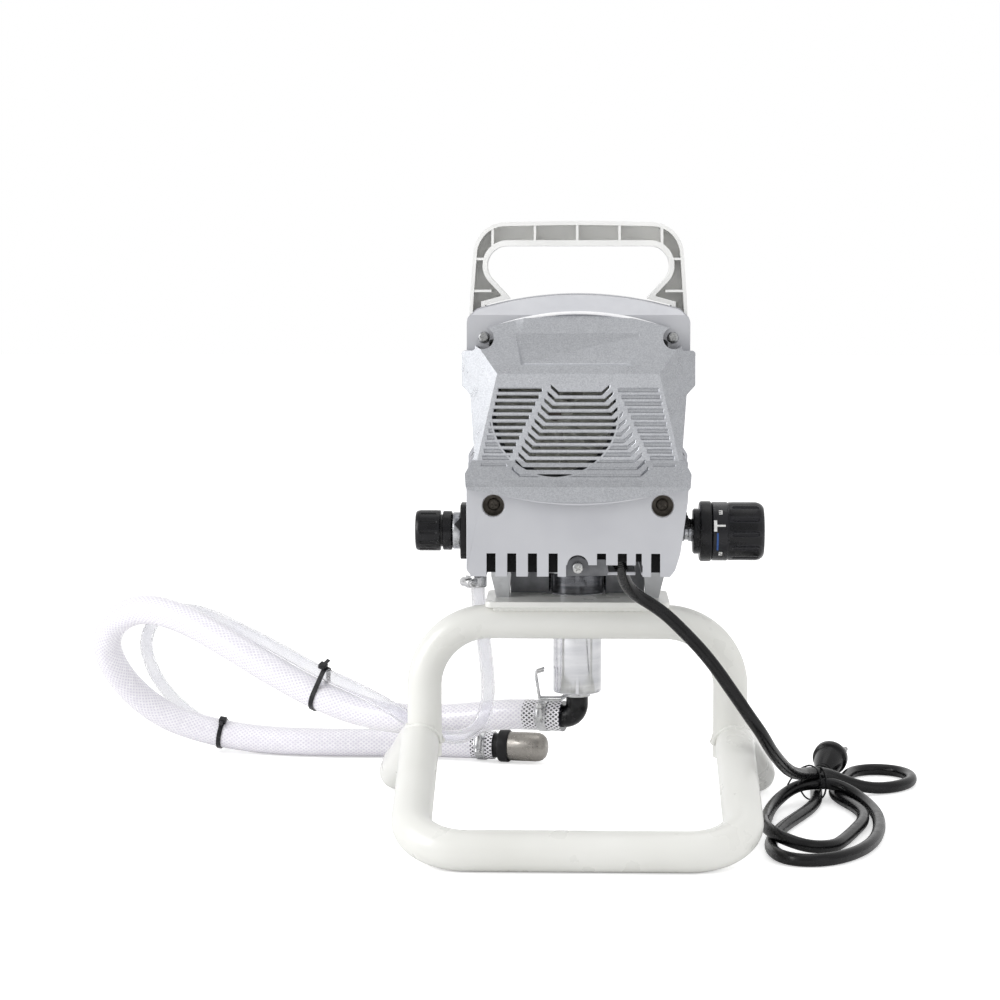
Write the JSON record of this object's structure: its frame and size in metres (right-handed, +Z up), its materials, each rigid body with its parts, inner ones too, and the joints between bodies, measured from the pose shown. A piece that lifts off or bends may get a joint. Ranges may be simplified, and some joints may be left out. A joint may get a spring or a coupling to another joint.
{
  "type": "airless paint sprayer",
  "caption": "Airless paint sprayer on a bent tube frame, with gear-driven piston pump, suction and return hoses, and power cord.",
  "frame": {"origin": "on the floor, at the middle of the sprayer's footprint (the frame's four floor limits, without the loose hoses and cord)", "axes": "+Z up, -Y towards the fan cover, +Y towards the spray hose outlet, +X towards the pressure control"},
  "size_m": [0.7595, 0.5204, 0.5019],
  "materials": {
    "frame_white": "gloss",
    "cast_aluminium": "satin",
    "polished_steel": "polished",
    "zinc_steel": "satin",
    "hardened_steel": "polished",
    "gear_steel": "satin",
    "motor_steel": "satin",
    "stator_iron": "matte",
    "seal_polymer": "satin",
    "black_plastic": "satin",
    "pale_plastic": "satin",
    "silver_plastic": "metallic satin",
    "handle_plastic": "satin",
    "dark_steel": "satin",
    "machined_steel": "satin",
    "clamp_steel": "polished",
    "clear_hose": "gloss",
    "clear_tube": "gloss",
    "black_rubber": "matte"
  },
  "bodies": {
    "sprayer": {"base_tube": "frame_white", "hoop_tube": "frame_white", "tube_end_plugs": "black_plastic", "mount_plate": "frame_white", "plate_bolts": "zinc_steel", "manifold": "cast_aluminium", "pump_lock_nut": "polished_steel", "pump_cylinder": "polished_steel", "inlet_seat": "hardened_steel", "rod_packing": "seal_polymer", "packing_nut": "zinc_steel", "drive_housing": "cast_aluminium", "bearing_plate": "cast_aluminium", "housing_bolts": "zinc_steel", "crank_bearings": "hardened_steel", "intermediate_shaft": "gear_steel", "motor_case": "motor_steel", "stator": "stator_iron", "motor_bearings": "hardened_steel", "motor_bracket": "cast_aluminium", "motor_shroud": "pale_plastic", "lower_shroud": "pale_plastic", "rear_cover": "silver_plastic", "front_cover": "pale_plastic", "shroud_screws": "zinc_steel", "handle": "handle_plastic", "shroud_bracket": "dark_steel", "outlet_fitting": "zinc_steel", "suction_elbow": "black_plastic", "suction_hose": "clear_hose", "hose_clamps": "clamp_steel", "strainer_fitting": "black_plastic", "strainer_cup": "clamp_steel", "bucket_hook": "zinc_steel", "drain_barb": "zinc_steel", "return_tube": "clear_tube", "valve_flange": "black_plastic", "valve_index_ring": "silver_plastic", "control_body": "machined_steel", "control_cable": "black_rubber", "power_switch": "black_plastic", "cord_gland": "black_rubber", "power_cord": "black_rubber", "cord_coil": "black_rubber", "cord_tail": "black_rubber", "cable_ties": "black_plastic", "power_plug": "black_rubber"},
    "rotor": {"rotor": "gear_steel", "cooling_fan": "black_plastic"},
    "idler": {"intermediate_gear": "gear_steel"},
    "crank": {"crankshaft": "gear_steel", "crank_gear": "gear_steel"},
    "piston": {"piston_rod": "polished_steel", "piston_seals": "seal_polymer", "drive_yoke": "gear_steel"},
    "inlet_ball": {"inlet_ball": "hardened_steel"},
    "outlet_ball": {"outlet_ball": "hardened_steel"},
    "pressure_knob": {"pressure_knob": "black_plastic"},
    "prime_knob": {"prime_knob": "black_plastic"},
    "switch_rocker": {"switch_rocker": "black_plastic"}
  },
  "joints": [
    {"name": "motor_spin", "type": "hinge", "parent": "sprayer", "child": "rotor", "pos_m": [-0.018, 0, 0.35], "axis": [0, 1, 0], "continuous": true},
    {"name": "idler_spin", "type": "hinge", "parent": "sprayer", "child": "idler", "pos_m": [0.01855, 0, 0.34162], "axis": [0, 1, 0], "continuous": true},
    {"name": "crank_spin", "type": "hinge", "parent": "sprayer", "child": "crank", "pos_m": [0, 0, 0.302], "axis": [0, 1, 0], "continuous": true},
    {"name": "piston_slide", "type": "slide", "parent": "sprayer", "child": "piston", "axis": [0, 0, 1], "range_m": [0, 0.018]},
    {"name": "inlet_ball_lift", "type": "slide", "parent": "sprayer", "child": "inlet_ball", "axis": [0, 0, 1], "range_m": [0, 0.003]},
    {"name": "outlet_ball_lift", "type": "slide", "parent": "piston", "child": "outlet_ball", "axis": [0, 0, 1], "range_m": [0, 0.003]},
    {"name": "pressure_turn", "type": "hinge", "parent": "sprayer", "child": "pressure_knob", "pos_m": [0.133, 0.028, 0.2435], "axis": [1, 0, 0], "range_deg": [0, 270]},
    {"name": "prime_turn", "type": "hinge", "parent": "sprayer", "child": "prime_knob", "pos_m": [-0.12, 0.028, 0.2435], "axis": [1, 0, 0], "range_deg": [0, 90]},
    {"name": "switch_tilt", "type": "hinge", "parent": "sprayer", "child": "switch_rocker", "pos_m": [0.045, 0.096, 0.33], "axis": [1, 0, 0], "range_deg": [-18, 0]}
  ],
  "couplings": [
    {"joint": "idler_spin", "follows": "motor_spin", "ratio": -0.25},
    {"joint": "crank_spin", "follows": "motor_spin", "ratio": 0.0625}
  ]
}
